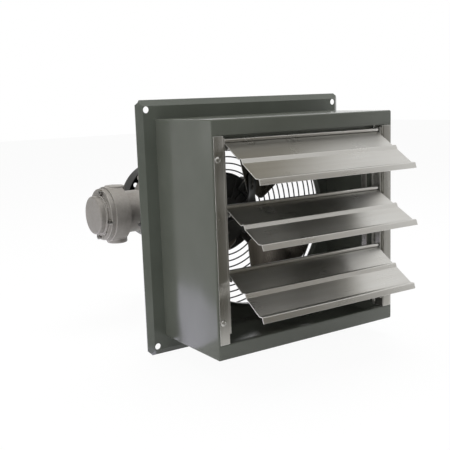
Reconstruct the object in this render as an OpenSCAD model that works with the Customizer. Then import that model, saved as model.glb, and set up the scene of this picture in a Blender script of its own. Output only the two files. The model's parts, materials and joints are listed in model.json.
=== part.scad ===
// Wall-housed exhaust fan: a square sleeve behind a gravity shutter, a mounting flange with a
// rolled orifice, a three-bladed propeller, and an enclosed motor behind a wire basket guard.
// Origin: centre of the flange's wall-side face. +X right, +Y into the room, +Z up.
// The shutter blades are drawn open, as the air holds them.

/* [Wall box] */
// Outer width and height of the square sleeve
box_w = 368; // [345:1:385]
// Depth of the sleeve in front of the flange
box_d = 168; // [150:1:200]
// Thickness of the sleeve's sheet
box_sheet = 1.6; // [1.2:0.1:2]
// Height of the top and bottom front rails
rail_h = 24; // [20:1:28]
// Width of the lips behind the side channels
side_lip_w = 17.5; // [15:0.5:18.5]
// Depth that the rails' inner edges are turned back
rail_return = 9; // [6:1:12]

/* [Mounting flange] */
// Outer width and height of the flange
flange_w = 431; // [425:1:460]
// Thickness of the flange's sheet
flange_sheet = 2; // [1.6:0.1:2.5]
// Width of the bent rim, seen from the front
rim_w = 10; // [8:0.5:12]
// How far the rim is bent back
rim_back = 7; // [4:0.5:10]
// Size of the clipped corners
corner_clip = 8; // [5:0.5:10]
// Distance of the corner holes from the flange's edges
hole_inset = 15.8; // [14:0.1:18]
// Diameter of the corner holes
hole_d = 11; // [8:0.5:12]

/* [Orifice] */
// Inner radius of the orifice
orifice_r = 154; // [150:0.5:160]
// Outer radius of the rolled mouth's bend
mouth_r = 10; // [7:0.5:12]
// Depth of the collar in front of the flange
collar_d = 18; // [14:1:24]

/* [Shutter frame] */
// Half the clear width between the side channels
channel_in = 162.8; // [158:0.1:164]
// Thickness of the channels' sheet
channel_t = 1.2; // [1:0.1:1.5]
// Width of the channels' front flanges
channel_w = 20.7; // [19:0.1:22]
// Depth of the channels' webs
channel_d = 30; // [24:1:36]
// Width of the channels' rear flanges
channel_rear_w = 12; // [8:1:16]
// Gap between a channel's end and the rail beside it
channel_end_gap = 1; // [0.5:0.1:3]
// Radius of the stiffening beads on the webs
web_bead_r = 1.4; // [1:0.1:1.5]
// Height of the screws above and below the middle
channel_screw_z = 124.5; // [110:0.5:135]
// Thickness of the pivot strips
strip_t = 4; // [3:0.1:5]
// Depth of the pivot strips
strip_d = 16; // [13:0.5:18]

/* [Louvre blades] */
// Height of the top blade's pivot
pivot_top_z = 144.5; // [143:0.5:146]
// Distance between the blades' pivots
pivot_pitch = 100; // [99.5:0.5:101]
// How far the pivots stand behind the sleeve's front
pivot_set_back = 10; // [9:0.5:11]
// Thickness of the blades' sheet
louvre_t = 1; // [0.8:0.1:1.2]
// Radius of the rolled bead
bead_r = 3.2; // [2.8:0.1:3.5]
// Length of a blade from the bead's centre to its lip
louvre_len = 107.7; // [105:0.1:108]
// Distance from the bead to the stiffening ridge
ridge_at = 45; // [38:0.5:50]
// Height of the stiffening ridge
ridge_h = 5; // [3:0.5:6]
// Height of the bent lip
lip_h = 4.9; // [4:0.1:5.5]
// Distance of the pivot under the bead's centre
pivot_drop = 7.6; // [7:0.1:8]
// Diameter of the pivot pins
pivot_pin_d = 4; // [3:0.1:5]
// Gap between a blade's end and the pivot strip
louvre_side_gap = 2.3; // [2:0.1:3]
// Slope of the top blade below the horizontal
louvre_slope_1 = 32; // [30:1:34]
// Slope of the middle blade below the horizontal
louvre_slope_2 = 28; // [26:1:32]
// Slope of the bottom blade below the horizontal
louvre_slope_3 = 33; // [30:1:34]
// Distance from a pivot back to its tie pin
tie_back = 20; // [17:0.5:22]
// Distance from a pivot down to its tie pin
tie_down = 10; // [8:0.5:12]
// Width of the tie bar
tie_bar_w = 11; // [9:0.5:13]
// Thickness of the tie bar
tie_bar_t = 2; // [1.5:0.1:2.5]

/* [Propeller] */
// Radius of the propeller's tips
prop_r = 150.5; // [140:0.5:151]
// Thickness of a propeller blade
prop_sheet = 1.6; // [1.2:0.1:2]
// Rise of the blades towards the motor, for each radian
prop_lead = 22; // [18:0.5:26]
// Depth of the blades' camber
camber_depth = 5; // [3:0.5:6]
// Angle from the arm to a blade's leading edge
lead_angle = 48; // [40:1:50]
// Angle from the arm to a blade's trailing edge
trail_angle = 19; // [16:1:24]
// Angle of the first arm above the +X axis
arm_angle = 84; // [0:1:119]
// Radius of the spider's centre disc
spider_r = 29; // [26:0.5:32]
// Thickness of the spider's plate
spider_t = 2.6; // [2:0.1:3]
// Width of the spider's arms
spider_arm_w = 26; // [22:0.5:28]
// Radius that the spider's arms reach
spider_reach = 80; // [76:0.5:86]
// Radius of the propeller's hub
hub_r = 19; // [17:0.5:22]
// Length of the propeller's hub
hub_len = 24; // [20:1:28]
// Diameter of the shaft in the hub
shaft_d = 15.9; // [14:0.1:16.5]

/* [Motor] */
// Distance from the flange to the motor's front face
motor_y = 73; // [70:0.5:74]
// Radius of the motor's shell
shell_r = 74; // [71:0.5:74.5]
// Thickness of the motor's shell
shell_t = 6; // [4:0.5:7]
// Distance from the motor's front face to the shell's front end
shell_start = 31; // [28:0.5:36]
// Length of the motor's shell
shell_len = 186; // [170:1:200]
// Diameter of the shaft in the bearings
journal_d = 17; // [16.6:0.1:19]
// Outer diameter of the bearings
bearing_d = 40; // [36:1:42]
// Width of the bearings
bearing_w = 12; // [10:0.5:13]
// Distance of the through bolts' axes from the shell
bolt_out = 4; // [3.6:0.1:4.6]
// Length of the rear end bell
rear_len = 32; // [28:1:36]
// How far the fan cowl stands outside the shell
cowl_out = 9.5; // [8.5:0.5:11]
// Length of the fan cowl
cowl_len = 44; // [40:1:50]

/* [Conduit box] */
// Distance from the motor's front face to the box's axis
cbox_back = 167; // [150:1:175]
// Radius of the box's neck
cbox_r = 41; // [38:0.5:42]
// Radius of the box's rim
cbox_rim_r = 53; // [51:0.5:54]
// Distance from the motor's axis to the neck's inner end
cbox_start = 94; // [90:0.5:98]
// Distance from the motor's axis to the cover's seat
cbox_seat = 174; // [165:1:180]
// Radius of the cover's raised disc
disc_r = 37; // [34:0.5:38]
// Radius of the conduit entry's bore
entry_r = 12; // [10:0.5:13]
// Distance from the cover's seat back to the entry's axis
entry_back = 22; // [21:0.5:24]

/* [Guard] */
// Distance from the flange to the middle of the guard's face rings
guard_y = 80; // [78:0.5:84]
// Distance from the motor's shell to the innermost ring
guard_gap = 7.5; // [7:0.5:10]
// Diameter of the ring wire
ring_wire = 2.6; // [2:0.1:3]
// Diameter of the rib wire
rib_wire = 4; // [3:0.1:5]
// Distance from the orifice's bend to the ring at the guard's foot
guard_out = 26; // [24:0.5:28]

/* [Hidden] */
$fn = 96;
overrun = 1;
louvres = [0, 1, 2];
sides = [-1, 1];
corner_angles = [45, 135, 225, 315];
side_angles = [0, 90, 180, 270];

// Wall box
box_half = box_w / 2;
front_y = -box_d;
opening_z = box_half - rail_h;
lip_x = box_half - side_lip_w;

// Mounting flange
flat_half = flange_w / 2 - rim_w;
hole_at = flange_w / 2 - hole_inset;
bend_r = orifice_r + mouth_r;

// Shutter frame
channel_out = channel_in + channel_t;
channel_mid = channel_out + channel_w / 2;
channel_top = opening_z - channel_end_gap;
strip_in = channel_in - strip_t;
strip_set_back = 2;
strip_front = front_y + strip_set_back;
strip_drop = 3;
strip_rise = 15;
web_bead_pitch = 3.8;
screw_head_r = 5;
screw_head_h = 2.6;
screw_dome_r = 6.4;
screw_shank_r = 2;
screw_grip = 6;
screw_slot_w = 1.2;
bush_flange_r = 4.8;
bush_flange_t = 1.5;
bush_r = 3.4;
pin_fit = 0.05;
seat_fit = 0.02;

// Louvre blades: places along a blade and heights above its sheet are shares of its own sizes
pivot_y = front_y + pivot_set_back;
pivot_along = 1;
louvre_half = strip_in - louvre_side_gap;
louvre_slopes = [louvre_slope_1, louvre_slope_2, louvre_slope_3];
sheet_drop = 1.7;
ridge_rise = 5.3;
ridge_fall = 6.3;
step_h = 0.5;
lip_rise = 6.4;
lip_fall = 7.3;
lip_tip = 1.3;
ear_r = 4.5;
ear_t = 1.2;
ear_at = 9;
tab_inset = 9.5;
tie_gap = 0.5;
pin_head_r = 3.4;
pin_head_t = 1;
tie_pin_x = louvre_half - tab_inset;
tie_end = 9;
tie_ear_r = 4.5;

// Propeller
prop_y = 2;
blade_root_r = 44;
arm_root_r = 22;
twist_from_r = 24;
twist_to_r = 48;
tip_corner_r = 30;
corner_from_share = 0.55;
root_corner_r = 10;
span_steps = 9;
chord_steps = 14;
arm_span_steps = 8;
arm_chord_steps = 4;
seat_gap = 0.15;
disc_stand = 0.5;
rivet_radii = [54, 63, 72];
rivet_shank_r = 2.4;
rivet_head_r = 4.6;
rivet_head_h = 2;
rivet_stand = 0.25;
shaft_nose = 6;
set_screw_r = 3;
set_screw_stand = 1.5;
arm_turns = [0, -120, -240];
rivet_dome_r = 5.5;
hub_flange_r = 22;
hub_flange_t = 6;
set_screw_back = 15;
hole_reach = 8;

// Motor: every station is a distance along +Y
shell_y = motor_y + shell_start;
shell_end = shell_y + shell_len;
rear_y = shell_end + rear_len;
bell_flange = 14;
bell_step = 2;
bell_r = shell_r + 2;
rear_bell_r = shell_r + 3;
bell_face_r = shell_r - 4;
bell_back_r = shell_r - 6;
spigot_len = 4;
nose_len = 7;
nose_r = 29;
nose_bore_r = 10.5;
pad_r = 11;
pad_circle_r = shell_r - 14;
pad_h = 5;
bell_wall = 6;
casting_ribs = 16;
rib_sink = 1;
rib_t = 3;
rib_h = 4;
front_bearing_y = motor_y + 6;
rear_bearing_y = shell_end + 6;
bearing_fit = 0.03;
core_len = 80;
core_start = 48;
air_gap = 0.4;
core_bore_share = 0.6055;
core_bore_r = shell_r * core_bore_share;
bore_pocket = 14;
shaft_mid_d = 24;
shoulder_gap = 0.5;
nose_step = 2;
bearing_groove_r = 1.5;
winding_len = 22;
winding_r = (core_bore_r + shell_r - shell_t) / 2;
winding_flat = 2;
winding_half = 8.5;
winding_gap = 0.3;
lug_r = 7.5;
lug_stand = 1;
bolt_circle_r = shell_r + bolt_out;
through_bolt_r = 3;
bolt_head_r = 5.5;
bolt_head_h = 4;
front_nut_h = 3.2;
wide_head_r = 6.5;
wide_head_h = 5;
carriage_head_r = 7.5;
bolt_end = 2;
cowl_r = shell_r + cowl_out;
post_depth = 12;
post_w = 12;
post_len = 13;
cowl_t = 1.6;
cowl_gap = 3;
cowl_y = rear_y + cowl_gap;
post_r_out = cowl_r - cowl_t - seat_fit;
post_r_in = post_r_out - post_depth;
screw_bite = 4;
rear_bore_r = 10;
vent_pitch = 18;
vent_rings = 3;
cowl_screw_head_r = 4;
cowl_edge_r = 16;
cowl_hole_r = 5;
cooling_fan_r = 64;
cooling_fan_len = 20;
cooling_fan_gap = 2;
fan_boss_r = 14;
fan_boss_len = 14;
fan_disc_back = 10;
vane_start_r = 13;
vane_end_r = 62;
vane_len = 11;
vane_t = 3;
vane_count = 8;
tail_d = 12;

// Motor mount
arm_w = 28;
arm_t = 5;
arm_clear = 2;
arm_leg_r = bend_r + arm_clear + arm_t;
arm_inner_r = pad_circle_r - pad_r;
arm_end_gap = 1.5;
foot_bolt_shank_r = 4;
motor_bolt_shank_r = 4;

// Conduit box: every station is a distance along -X from the motor's axis
cbox_y = motor_y + cbox_back;
nipple_r = 22;
nipple_start = shell_r - shell_t + air_gap;
cbox_wall = 5;
cbox_round = 14;
rim_len = 32;
cover_flange_r = 50;
cover_flange_t = 9;
cover_cup_r = 31;
cover_step_r = 40;
cover_step_t = 5;
disc_t = 12;
disc_round = 3;
cover_bolt_circle_r = 45;
cover_bolt_r = 3;
cover_bolt_grip = 7;
cover_bolt_angles = [12, 102, 192, 282];
cover_lug_angles = [57, 147, 237, 327];
cover_lug_w = 11;
cover_lug_r = 42;
lug_root_r = 34;
socket_head_h = 5;
socket_depth = 3;
bolt_head_gap = 0.5;
entry_boss_r = 20;
entry_stand = 5;
entry_len = 16;
top_stand = 1;

// Guard
face_rings = 9;
side_rings = 5;
rib_angles = [0, 45, 90, 135, 180, 225, 270, 315];
wire_fn = 24;
foot_ring_wire = 5;
foot_ring_r = bend_r + guard_out;
guard_taper = 7.3;
shoulder_r = foot_ring_r - guard_taper;
shoulder_in = 3.6;
ring_first_r = shell_r + guard_gap;
ring_last_r = shoulder_r - shoulder_in;
ring_pitch = (ring_last_r - ring_first_r) / (face_rings - 1);
bend_share = 1.08;
weld_gap = rib_wire * (bend_share - 1) / 2 + seat_fit;
guard_foot_w = 15;
guard_foot_t = 2;
guard_screw_r = foot_ring_r + 13;
guard_screw_shank_r = 2.5;
guard_screw_end = 2;
foot_ring_y = flange_sheet + guard_foot_t + foot_ring_wire / 2 + seat_fit;
arm_foot_end = foot_ring_r - foot_ring_wire / 2 - arm_end_gap;
foot_bolt_r = (arm_leg_r + arm_foot_end) / 2;

// Colours as the photograph shows them
charcoal = [0.27, 0.28, 0.26];
brushed = [0.66, 0.66, 0.64];
light_metal = [0.72, 0.72, 0.72];
nylon = [0.93, 0.93, 0.9];
cast_grey = [0.56, 0.54, 0.52];
motor_dark = [0.2, 0.2, 0.19];
cowl_black = [0.08, 0.08, 0.08];
wire_dark = [0.14, 0.14, 0.14];
steel = [0.6, 0.6, 0.6];
copper = [0.72, 0.42, 0.2];
lamination = [0.35, 0.35, 0.38];
prop_metal = [0.6, 0.58, 0.54];

// A plate whose outline is drawn as seen from the front, from y0 back to y1
module plate_y(y0, y1) {
    translate([0, y1, 0]) rotate([90, 0, 0]) linear_extrude(y1 - y0) children();
}

// A round bar along Y
module bar_y(r, y0, y1) {
    translate([0, y0, 0]) rotate([-90, 0, 0]) cylinder(r = r, h = y1 - y0);
}

// A hexagonal head or nut along Y
module hex_y(r, y0, y1) {
    translate([0, y0, 0]) rotate([-90, 0, 0]) cylinder(r = r, h = y1 - y0, $fn = 6);
}

// A round bar along X
module bar_x(r, x0, x1) {
    translate([x0, 0, 0]) rotate([0, 90, 0]) cylinder(r = r, h = x1 - x0);
}

// A body turned about the fan's axis, from an outline of radius and distance along +Y
module turned() {
    rotate([-90, 0, 0]) rotate_extrude() children();
}

// A band of an outline, from radius r0 to r1 and from y0 to y1
module band(r0, r1, y0, y1) {
    translate([r0, y0]) square([r1 - r0, y1 - y0]);
}

// Copies turned about the fan's axis
module around(angles) {
    for (a = angles) rotate([0, -a, 0]) children();
}

// A square frame of sheet, as seen from the front
module square_ring(half_x, half_z, in_x, in_z) {
    difference() {
        square([2 * half_x, 2 * half_z], center = true);
        square([2 * in_x, 2 * in_z], center = true);
    }
}

module wall_box() {
    inner = box_half - box_sheet;
    lapped = inner + box_sheet / 2;
    color(charcoal) difference() {
        union() {
            plate_y(front_y, 0) square_ring(box_half, box_half, inner, inner);
            plate_y(front_y, front_y + box_sheet) square_ring(lapped, lapped, lip_x, opening_z);
            for (s = sides) translate([0, 0, s * (opening_z + box_sheet / 2)])
                plate_y(front_y, front_y + rail_return) square([2 * inner, box_sheet], center = true);
        }
        for (sx = sides, sz = sides) translate([sx * channel_mid, 0, sz * channel_screw_z])
            bar_y(screw_shank_r, front_y - overrun, front_y + box_sheet + overrun);
    }
}

// One side of the bent rim, mitred at both ends, for the side that faces +X
module rim_side() {
    intersection() {
        translate([0, 0, -flange_w]) linear_extrude(2 * flange_w) polygon([
            [flat_half, 0],
            [flat_half + rim_w, rim_back],
            [flat_half + rim_w, rim_back + flange_sheet],
            [flat_half, flange_sheet]]);
        plate_y(-overrun, rim_back + flange_sheet + overrun)
            polygon([[0, 0], [flange_w, flange_w], [flange_w, -flange_w]]);
    }
}

module mounting_flange() {
    half = flange_w / 2;
    color(charcoal) difference() {
        union() {
            difference() {
                union() {
                    plate_y(0, flange_sheet) square(2 * flat_half, center = true);
                    around(side_angles) rim_side();
                }
                bar_y(bend_r, -overrun, flange_sheet + overrun);
            }
            turned() {
                translate([bend_r, flange_sheet - mouth_r]) intersection() {
                    difference() {
                        circle(mouth_r);
                        circle(mouth_r - flange_sheet);
                    }
                    translate([-mouth_r, 0]) square(mouth_r);
                }
                band(orifice_r, orifice_r + flange_sheet, -collar_d, flange_sheet - mouth_r);
            }
        }
        for (sx = sides, sz = sides) translate([sx * hole_at, 0, sz * hole_at])
            bar_y(hole_d / 2, -overrun, flange_sheet + overrun);
        for (a = corner_angles) rotate([0, a, 0]) {
            translate([flange_w / sqrt(2) - corner_clip / sqrt(2), -overrun, -half])
                cube([corner_clip, rim_back + flange_sheet + 2 * overrun, flange_w]);
            translate([foot_bolt_r, 0, 0])
                bar_y(foot_bolt_shank_r, -overrun, flange_sheet + overrun);
            translate([guard_screw_r, 0, 0])
                bar_y(guard_screw_shank_r, -overrun, flange_sheet + overrun);
        }
    }
}

// The right-hand channel: front flange, web with two pressed beads, and rear flange
module channel() {
    web_back = front_y - channel_t + channel_d;
    difference() {
        union() {
            translate([0, 0, -channel_top]) linear_extrude(2 * channel_top) {
                translate([channel_in, front_y - channel_t]) square([channel_t, channel_d]);
                translate([channel_in, front_y - channel_t]) square([channel_w + channel_t, channel_t]);
                translate([channel_in, web_back - channel_t]) square([channel_rear_w, channel_t]);
                for (k = [1, 2]) translate([channel_in, web_back - channel_t - k * web_bead_pitch])
                    intersection() {
                        circle(web_bead_r);
                        translate([-web_bead_r, -web_bead_r])
                            square([web_bead_r + channel_t / 2, 2 * web_bead_r]);
                    }
            }
        }
        for (s = sides) translate([channel_mid, 0, s * channel_screw_z])
            bar_y(screw_shank_r, front_y - channel_t - overrun, front_y + overrun);
    }
}

module right_channel() {
    color(light_metal) channel();
}

module left_channel() {
    color(light_metal) mirror([1, 0, 0]) channel();
}

module channel_screws() {
    head_y = front_y - channel_t;
    color(steel) for (sx = sides, sz = sides)
        translate([sx * channel_mid, 0, sz * channel_screw_z]) difference() {
            union() {
                bar_y(screw_shank_r - seat_fit, head_y, head_y + screw_grip);
                intersection() {
                    bar_y(screw_head_r, head_y - screw_head_h, head_y);
                    translate([0, head_y + screw_dome_r - screw_head_h, 0]) sphere(screw_dome_r);
                }
            }
            for (turn = [0, 90]) rotate([0, turn, 0])
                translate([-screw_head_r / 2, head_y - screw_head_h - overrun, -screw_slot_w / 2])
                    cube([screw_head_r, overrun + screw_head_h / 2, screw_slot_w]);
        }
}

function pivot_z(i) = pivot_top_z - i * pivot_pitch;

// The right-hand strip, bored for the three bushes
module pivot_strip() {
    difference() {
        translate([strip_in, strip_front, -channel_top + strip_rise])
            cube([strip_t, strip_d, 2 * channel_top - strip_rise - strip_drop]);
        for (i = louvres) translate([0, pivot_y, pivot_z(i)])
            bar_x(bush_r + seat_fit, strip_in - overrun, channel_in + overrun);
    }
}

module right_pivot_strip() {
    color(light_metal) pivot_strip();
}

module left_pivot_strip() {
    color(light_metal) mirror([1, 0, 0]) pivot_strip();
}

module pivot_bushes() {
    color(nylon) for (m = [0, 1], i = louvres)
        mirror([m, 0, 0]) translate([0, pivot_y, pivot_z(i)]) difference() {
            union() {
                bar_x(bush_r, strip_in - bush_flange_t, channel_in);
                bar_x(bush_flange_r, strip_in - bush_flange_t, strip_in);
            }
            bar_x(pivot_pin_d / 2 + pin_fit, strip_in - bush_flange_t - overrun, channel_in + overrun);
        }
}

// Height of a blade's upper skin above the line through the bead's underside, at each bend
function louvre_bends() = let (r0 = ridge_at, r1 = r0 + ridge_rise, r2 = r1 + ridge_fall,
        l0 = louvre_len - lip_fall - lip_rise, l1 = louvre_len - lip_fall) [
    [0, 0], [r0, 0], [r1, ridge_h], [r2, step_h], [l0, step_h], [l1, lip_h], [louvre_len, -lip_tip]];

// A flat link with round ends, from point p to point q
module link(p, q, r) {
    along = q - p;
    translate(p) rotate(atan2(along[1], along[0])) {
        circle(r);
        translate([0, -r]) square([norm(along), 2 * r]);
        translate([norm(along), 0]) circle(r);
    }
}

// The tie pin seen in the blade's own outline, for a blade that slopes by a
function tie_local(a) = [
    pivot_along - tie_back * cos(a) + tie_down * sin(a),
    -pivot_drop - tie_back * sin(a) - tie_down * cos(a)];

// Puts an outline drawn along a blade (x down the blade, y out of its upper skin) in its place:
// the outline's plane is square to X, and the pivot lies on the pivot's axis
module on_blade(i, x0, x1) {
    translate([x0, pivot_y, pivot_z(i)]) rotate([louvre_slopes[i], 0, 0])
        translate([0, pivot_along, pivot_drop]) mirror([0, 1, 0]) rotate([90, 0, 90])
            linear_extrude(x1 - x0) children();
}

module louvre(i) {
    top = louvre_bends();
    under = [for (k = [len(top) - 1:-1:0]) top[k] - [0, louvre_t]];
    tie = tie_local(louvre_slopes[i]);
    difference() {
        union() {
            on_blade(i, -louvre_half, louvre_half) {
                translate([0, -sheet_drop]) polygon(concat(top, under));
                difference() {
                    circle(bead_r);
                    circle(bead_r - louvre_t);
                }
            }
            for (side = sides) let (x = side * (louvre_half - ear_t / 2))
                on_blade(i, x - ear_t / 2, x + ear_t / 2)
                    ear([pivot_along, -pivot_drop], ear_r);
            on_blade(i, tie_pin_x - ear_t, tie_pin_x) ear(tie, tie_ear_r);
        }
        for (side = sides) let (x = side * (louvre_half - ear_t / 2))
            on_blade(i, x - ear_t, x + ear_t) translate([pivot_along, -pivot_drop])
                circle(pivot_pin_d / 2 + seat_fit);
        on_blade(i, tie_pin_x - ear_t - overrun, tie_pin_x + overrun) translate(tie)
            circle(pivot_pin_d / 2 + seat_fit);
    }
}

// A tab under the sheet that carries a pin at point p
module ear(p, r) {
    skin = -sheet_drop - louvre_t / 2;
    link([ear_at, skin - r - louvre_t / 2], p, r);
    translate([ear_at - r, skin - r - louvre_t]) square([2 * r, r + louvre_t]);
}

module louvre_1() {
    color(brushed) louvre(0);
}

module louvre_2() {
    color(brushed) louvre(1);
}

module louvre_3() {
    color(brushed) louvre(2);
}

// Two pivot pins and the tie pin of one blade, headed inside their ears
module louvre_pins(i) {
    pin_r = pivot_pin_d / 2;
    ear_back = tie_pin_x - ear_t;
    clip_x = tie_pin_x + tie_bar_t + 2 * tie_gap;
    for (m = [0, 1]) mirror([m, 0, 0]) translate([0, pivot_y, pivot_z(i)]) {
        bar_x(pin_r, louvre_half - ear_t - pin_head_t, channel_in - pin_fit);
        bar_x(pin_head_r, louvre_half - ear_t - pin_head_t, louvre_half - ear_t);
    }
    translate([0, pivot_y + tie_back, pivot_z(i) - tie_down]) {
        bar_x(pin_r, ear_back - pin_head_t, clip_x + pin_head_t);
        bar_x(pin_head_r, ear_back - pin_head_t, ear_back);
        bar_x(pin_head_r, clip_x, clip_x + pin_head_t);
    }
}

module louvre_1_pins() {
    color(steel) louvre_pins(0);
}

module louvre_2_pins() {
    color(steel) louvre_pins(1);
}

module louvre_3_pins() {
    color(steel) louvre_pins(2);
}

module tie_bar() {
    x0 = tie_pin_x + tie_gap;
    low = pivot_z(2) - tie_down;
    high = pivot_z(0) - tie_down;
    color(light_metal) translate([x0, pivot_y + tie_back, 0]) difference() {
        rotate([90, 0, 90]) linear_extrude(tie_bar_t)
            link([0, low - tie_end + tie_bar_w / 2], [0, high + tie_end - tie_bar_w / 2], tie_bar_w / 2);
        for (i = louvres) translate([0, 0, pivot_z(i) - tie_down])
            bar_x(pivot_pin_d / 2 + pin_fit, -overrun, tie_bar_t + overrun);
    }
}

// How much of the blades' twist an arm has at radius r: none at the disc, all of it at the blade
function twist_share(r) = let (t = min(1, max(0, (r - twist_from_r) / (twist_to_r - twist_from_r))))
    t * t * (3 - 2 * t);

// Place of the blades' front skin at radius r and at angle a before the arm, with its camber
function skin_y(r, a) = let (mid = (lead_angle - trail_angle) / 2,
        half = (lead_angle + trail_angle) / 2,
        u = (a - mid) / half,
        u0 = -mid / half)
    prop_y + twist_share(r) * (prop_lead * a * PI / 180 + camber_depth * (u0 * u0 - u * u));

function skin_point(r, a, rise) = [r * cos(arm_angle - a), skin_y(r, a) + rise, r * sin(arm_angle - a)];

// A closed sheet from a grid of front points and the same grid of back points
module sheet(front, back) {
    rows = len(front);
    cols = len(front[0]);
    count = rows * cols;
    function at(i, j) = i * cols + j;
    faces = concat(
        [for (i = [0:rows - 2], j = [0:cols - 2]) each [
            [at(i, j), at(i + 1, j), at(i + 1, j + 1)],
            [at(i, j), at(i + 1, j + 1), at(i, j + 1)],
            [count + at(i, j), count + at(i + 1, j + 1), count + at(i + 1, j)],
            [count + at(i, j), count + at(i, j + 1), count + at(i + 1, j + 1)]]],
        [for (i = [0:rows - 2], j = [0, cols - 1]) let (a = at(i, j), b = at(i + 1, j))
            each (j == 0 ? [[a, count + a, b], [b, count + a, count + b]]
                : [[a, b, count + a], [b, count + b, count + a]])],
        [for (j = [0:cols - 2], i = [0, rows - 1]) let (a = at(i, j), b = at(i, j + 1))
            each (i == 0 ? [[a, b, count + a], [b, count + b, count + a]]
                : [[a, count + a, b], [b, count + a, count + b]])]);
    polyhedron(
        points = concat([for (row = front) each row], [for (row = back) each row]),
        faces = faces);
}

// How far a blade's end is rounded off near its edges, where u runs from -1 to 1 across the blade
function corner_drop(u, r) = let (t = max(0, (abs(u) - corner_from_share) / (1 - corner_from_share)))
    r * (1 - sqrt(1 - t * t));

function blade_grid(rise) = [for (i = [0:span_steps]) [for (j = [0:chord_steps])
    let (u = 2 * j / chord_steps - 1,
        a = (lead_angle - trail_angle) / 2 + u * (lead_angle + trail_angle) / 2,
        low = blade_root_r + corner_drop(u, root_corner_r),
        high = prop_r - corner_drop(u, tip_corner_r),
        r = low + (high - low) * i / span_steps)
    skin_point(r, a, rise)]];

module fan_blade(k) {
    around([-120 * k]) difference() {
        sheet(blade_grid(0), blade_grid(prop_sheet));
        rivet_holes(rivet_shank_r + seat_fit);
    }
}

module fan_blade_1() {
    color(prop_metal) fan_blade(0);
}

module fan_blade_2() {
    color(prop_metal) fan_blade(1);
}

module fan_blade_3() {
    color(prop_metal) fan_blade(2);
}

function arm_grid(rise) = [for (i = [0:arm_span_steps]) [for (j = [0:arm_chord_steps])
    let (r = arm_root_r + (spider_reach - arm_root_r) * i / arm_span_steps,
        across = (j / arm_chord_steps - 0.5) * spider_arm_w,
        a = across / r * 180 / PI)
    skin_point(r, a, rise)]];

// Rise of the front skin across an arm's middle for each radian, camber included
function arm_lead() = let (mid = (lead_angle - trail_angle) / 2,
        half = (lead_angle + trail_angle) / 2)
    prop_lead + 2 * camber_depth * mid / (half * half) * 180 / PI;

// Places the children along a rivet's axis, square to the arm at radius r
module at_rivet(r) {
    rotate([0, -arm_angle, 0]) translate([r, prop_y, 0])
        rotate([atan(twist_share(r) * arm_lead() / r), 0, 0]) children();
}

module rivet_holes(r) {
    for (at = rivet_radii) at_rivet(at) bar_y(r, -hole_reach, hole_reach);
}

module fan_spider() {
    color(motor_dark) difference() {
        union() {
            bar_y(spider_r, prop_y - spider_t - disc_stand - seat_gap, prop_y - seat_fit);
            around(arm_turns) sheet(arm_grid(-spider_t - seat_gap), arm_grid(-seat_gap));
        }
        bar_y(shaft_d / 2 + seat_fit, prop_y - hole_reach, prop_y + overrun);
        around(arm_turns) rivet_holes(rivet_shank_r + seat_fit);
    }
}

module fan_rivets() {
    front = -spider_t - seat_gap;
    color(motor_dark) around(arm_turns) for (r = rivet_radii) at_rivet(r) {
        bar_y(rivet_shank_r, front - rivet_stand, prop_sheet + rivet_stand);
        for (s = [0, 1]) translate([0, s == 0 ? front - rivet_stand : prop_sheet + rivet_stand, 0])
            mirror([0, 1 - s, 0]) intersection() {
                translate([0, rivet_head_h - rivet_dome_r, 0]) sphere(rivet_dome_r);
                bar_y(rivet_head_r, 0, rivet_head_r);
            }
    }
}

module fan_hub() {
    color(cast_grey) difference() {
        turned() {
            band(shaft_d / 2 + seat_fit, hub_r, prop_y, prop_y + hub_len);
            band(hub_r, hub_flange_r, prop_y, prop_y + hub_flange_t);
        }
        translate([0, prop_y + set_screw_back, 0])
            cylinder(r = set_screw_r + seat_fit, h = hub_r + overrun);
    }
}

module hub_set_screw() {
    low = shaft_d / 2 + seat_fit;
    color(steel) translate([0, prop_y + set_screw_back, 0]) difference() {
        translate([0, 0, low]) cylinder(r = set_screw_r, h = hub_r + set_screw_stand - low);
        translate([0, 0, hub_r - set_screw_r]) cylinder(r = set_screw_r / 2, h = hub_r, $fn = 6);
    }
}

// Stepped shaft: nose, front journal, middle, rear journal, tail for the cooling fan
module motor_shaft() {
    front_shoulder = front_bearing_y + bearing_w;
    tail_y = rear_bearing_y + bearing_w + shoulder_gap;
    color(steel) turned() {
        band(0, shaft_d / 2, -shaft_nose, front_bearing_y);
        band(0, journal_d / 2, front_bearing_y - nose_step, front_shoulder);
        band(0, shaft_mid_d / 2, front_shoulder + shoulder_gap, rear_bearing_y - shoulder_gap);
        band(0, journal_d / 2, front_shoulder, tail_y);
        band(0, tail_d / 2, tail_y, cowl_y + cooling_fan_len);
    }
}

module rotor_core() {
    y0 = shell_y + core_start;
    color(lamination) turned()
        band(shaft_mid_d / 2 + seat_fit, core_bore_r - air_gap, y0, y0 + core_len);
}

module cooling_fan() {
    y0 = cowl_y + cooling_fan_gap;
    color(cowl_black) {
        difference() {
            union() {
                turned() {
                    band(0, fan_boss_r, y0, y0 + fan_boss_len);
                    band(0, cooling_fan_r, y0 + fan_disc_back, y0 + fan_disc_back + vane_t);
                }
                around([for (k = [0:vane_count - 1]) k * 360 / vane_count])
                    translate([vane_start_r, y0, -vane_t / 2])
                        cube([vane_end_r - vane_start_r, vane_len, vane_t]);
            }
            bar_y(tail_d / 2 + seat_fit, cowl_y - overrun, cowl_y + 2 * cooling_fan_len);
        }
    }
}

module bearing(y0) {
    turned() difference() {
        band(journal_d / 2 + bearing_fit, bearing_d / 2, y0, y0 + bearing_w);
        for (y = [y0, y0 + bearing_w])
            translate([(journal_d + bearing_d) / 4, y]) circle(bearing_groove_r);
    }
}

module front_bearing() {
    color(steel) bearing(front_bearing_y);
}

module rear_bearing() {
    color(steel) bearing(rear_bearing_y);
}

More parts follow.
